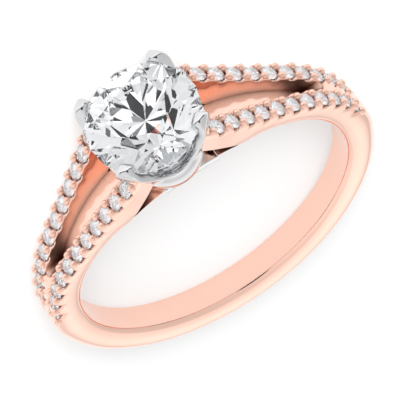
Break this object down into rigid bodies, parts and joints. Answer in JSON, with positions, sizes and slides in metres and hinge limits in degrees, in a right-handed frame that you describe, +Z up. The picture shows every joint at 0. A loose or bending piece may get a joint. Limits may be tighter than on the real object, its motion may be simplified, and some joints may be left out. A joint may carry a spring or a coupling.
{
  "type": "split shank ring",
  "caption": "Finger ring with a round stone in a four claw cup and split shoulders set with rows of small stones, lying on its side.",
  "frame": {"origin": "centre of the finger hole, on its axis, in the middle of the band's width", "axes": "the ring lies on its side: -Y points to the main stone, +Z is up and leans 5.4 degrees from the finger hole's axis, +X points to the left arms as seen in the picture"},
  "size_m": [0.0212, 0.0243, 0.0065],
  "materials": {
    "rose_gold": "polished",
    "white_gold": "polished",
    "diamond": "faceted, polished",
    "small_diamond": "faceted, polished"
  },
  "bodies": {
    "root": {"shank": "rose_gold", "head": "white_gold", "centre_stone": "diamond", "stones_left_front": "small_diamond", "stones_left_back": "small_diamond", "stones_right_front": "small_diamond", "stones_right_back": "small_diamond"}
  },
  "joints": []
}
